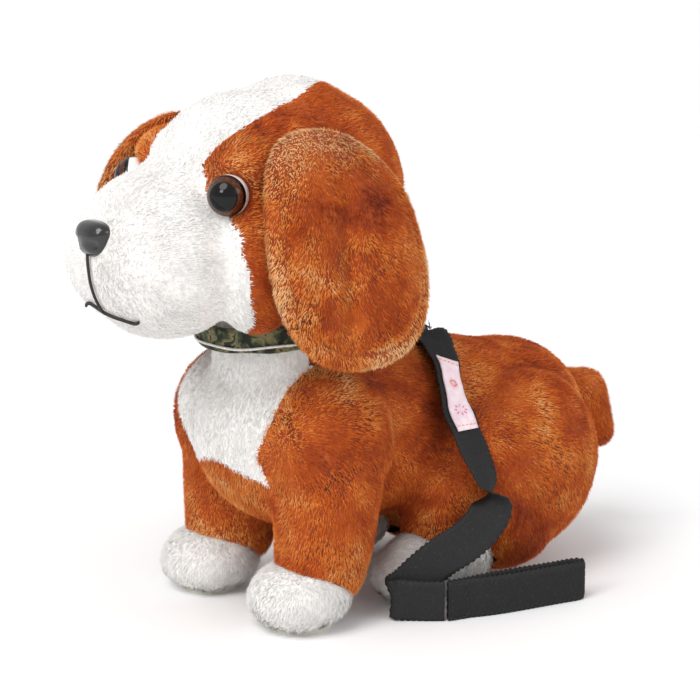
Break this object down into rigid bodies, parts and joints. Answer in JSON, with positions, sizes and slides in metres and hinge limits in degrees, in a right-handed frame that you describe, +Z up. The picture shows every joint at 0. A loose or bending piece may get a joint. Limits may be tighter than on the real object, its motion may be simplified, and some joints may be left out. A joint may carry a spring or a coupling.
{
  "type": "plush toy dog",
  "caption": "Plush toy basset puppy on a lead, with long ears, a white muzzle, bib and paws, a camouflage collar and a works that swings its legs and wags its tail.",
  "frame": {"origin": "on the floor, under the middle of the dog's bounding box without the lead", "axes": "+Z up, the nose points along -Y, and the dog's own left side is +X"},
  "size_m": [0.1746, 0.3314, 0.26],
  "materials": {
    "plush_brown": "long soft pile, orange brown with dark brown shading",
    "plush_white": "long soft pile, white",
    "stuffing": "polyester fibre fill",
    "collar_cloth": "woven cloth, dyed in green, black and tan patches",
    "white_thread": "smooth round cord",
    "black_thread": "stitched thread",
    "nose_black": "moulded, lightly grained, glossy",
    "eye_white": "moulded and polished",
    "eye_brown": "clear domed over dark brown, polished",
    "case_plastic": "moulded, matt",
    "steel_bright": "bright drawn or rolled",
    "brass_parts": "bright",
    "cell_wrap": "printed wrap, left plain",
    "board_green": "solder mask over glass cloth",
    "dark_plastic": "moulded, matt",
    "red_plastic": "moulded, matt",
    "wire_cover": "soft insulation",
    "grey_plastic": "moulded, matt",
    "rod_plastic": "moulded, matt",
    "webbing": "ribbed black webbing with grey flecks",
    "label_cloth": "woven pale pink ribbon"
  },
  "bodies": {
    "torso": {"body_plush": "plush_brown", "chest_bib": "plush_white", "neck_plush": "plush_brown", "haunches": "plush_brown", "head_plush": "plush_brown", "head_blaze": "plush_white", "muzzle_plush": "plush_white", "head_stuffing": "stuffing", "ear_left": "plush_brown", "ear_right": "plush_brown", "collar": "collar_cloth", "collar_cord": "white_thread", "nose": "nose_black", "eye_left": "eye_white", "eye_right": "eye_white", "eye_irises": "eye_brown", "eye_washers": "case_plastic", "mouth_stitching": "black_thread", "chassis_tray": "case_plastic", "chassis_cover": "case_plastic", "chassis_screws": "steel_bright", "batteries": "cell_wrap", "battery_contacts": "brass_parts", "circuit_board": "board_green", "speaker": "dark_plastic", "switch_body": "dark_plastic", "wires": "wire_cover", "motor": "steel_bright", "gear_axles": "steel_bright", "leg_axles": "steel_bright", "axle_caps": "steel_bright", "lead_anchor": "webbing", "lead_strap": "webbing", "lead_handle": "webbing", "lead_label": "label_cloth"},
    "front_leg_left": {"front_frame_left": "grey_plastic", "front_leg_left": "plush_brown", "front_paw_left": "plush_white"},
    "front_leg_right": {"front_frame_right": "grey_plastic", "front_leg_right": "plush_brown", "front_paw_right": "plush_white"},
    "hind_leg_left": {"hind_frame_left": "grey_plastic", "hind_leg_left": "plush_brown", "hind_foot_left": "plush_white"},
    "hind_leg_right": {"hind_frame_right": "grey_plastic", "hind_leg_right": "plush_brown", "hind_foot_right": "plush_white"},
    "link_left": {"link_rod_left": "rod_plastic"},
    "link_right": {"link_rod_right": "rod_plastic"},
    "crank": {"output_gear": "case_plastic", "crankshaft": "case_plastic"},
    "second_wheel": {"second_gear": "case_plastic"},
    "first_wheel": {"first_gear": "case_plastic"},
    "motor_rotor": {"motor_pinion": "brass_parts"},
    "tail": {"tail_arm": "grey_plastic", "tail_plush": "plush_brown"},
    "tail_rod": {"tail_push_rod": "rod_plastic"},
    "battery_door": {"battery_door": "case_plastic", "battery_door_screw": "steel_bright"},
    "switch_knob": {"switch_knob": "red_plastic"}
  },
  "joints": [
    {"name": "front_leg_left_swing", "type": "hinge", "parent": "torso", "child": "front_leg_left", "pos_m": [0, -0.053, 0.09], "axis": [1, 0, 0], "range_deg": [-8, 8]},
    {"name": "front_leg_right_swing", "type": "hinge", "parent": "torso", "child": "front_leg_right", "pos_m": [0, -0.053, 0.09], "axis": [1, 0, 0], "range_deg": [-8, 8]},
    {"name": "hind_leg_left_swing", "type": "hinge", "parent": "torso", "child": "hind_leg_left", "pos_m": [0, 0.019, 0.066], "axis": [1, 0, 0], "range_deg": [-8, 8]},
    {"name": "hind_leg_right_swing", "type": "hinge", "parent": "torso", "child": "hind_leg_right", "pos_m": [0, 0.019, 0.066], "axis": [1, 0, 0], "range_deg": [-8, 8]},
    {"name": "link_left_turn", "type": "hinge", "parent": "front_leg_left", "child": "link_left", "pos_m": [0, -0.053, 0.104], "axis": [1, 0, 0], "range_deg": [-8, 8]},
    {"name": "link_right_turn", "type": "hinge", "parent": "front_leg_right", "child": "link_right", "pos_m": [0, -0.053, 0.104], "axis": [1, 0, 0], "range_deg": [-8, 8]},
    {"name": "crank_turn", "type": "hinge", "parent": "torso", "child": "crank", "pos_m": [0, -0.053, 0.068], "axis": [1, 0, 0], "continuous": true},
    {"name": "second_wheel_turn", "type": "hinge", "parent": "torso", "child": "second_wheel", "pos_m": [0, -0.0405, 0.068], "axis": [1, 0, 0], "continuous": true},
    {"name": "first_wheel_turn", "type": "hinge", "parent": "torso", "child": "first_wheel", "pos_m": [0, -0.028, 0.068], "axis": [1, 0, 0], "continuous": true},
    {"name": "motor_turn", "type": "hinge", "parent": "torso", "child": "motor_rotor", "pos_m": [0, -0.0155, 0.068], "axis": [1, 0, 0], "continuous": true},
    {"name": "tail_wag", "type": "hinge", "parent": "torso", "child": "tail", "pos_m": [0, 0.077, 0.088], "axis": [0, 0, 1], "range_deg": [-15, 15]},
    {"name": "tail_rod_slide", "type": "slide", "parent": "torso", "child": "tail_rod", "axis": [0, 1, 0], "range_m": [-0.0027, 0.0027]},
    {"name": "battery_door_lift", "type": "slide", "parent": "torso", "child": "battery_door", "axis": [0, 0, -1], "range_m": [0, 0.006]},
    {"name": "switch_slide", "type": "slide", "parent": "torso", "child": "switch_knob", "axis": [1, 0, 0], "range_m": [0, 0.004]}
  ],
  "couplings": [
    {"joint": "front_leg_right_swing", "follows": "front_leg_left_swing", "ratio": -1},
    {"joint": "hind_leg_left_swing", "follows": "front_leg_left_swing", "ratio": 1},
    {"joint": "hind_leg_right_swing", "follows": "front_leg_left_swing", "ratio": -1},
    {"joint": "link_left_turn", "follows": "front_leg_left_swing", "ratio": -1},
    {"joint": "link_right_turn", "follows": "front_leg_left_swing", "ratio": 1},
    {"joint": "second_wheel_turn", "follows": "crank_turn", "ratio": -4},
    {"joint": "first_wheel_turn", "follows": "crank_turn", "ratio": 16},
    {"joint": "motor_turn", "follows": "crank_turn", "ratio": -64},
    {"joint": "tail_rod_slide", "follows": "tail_wag", "m_per_rad": -0.01}
  ]
}
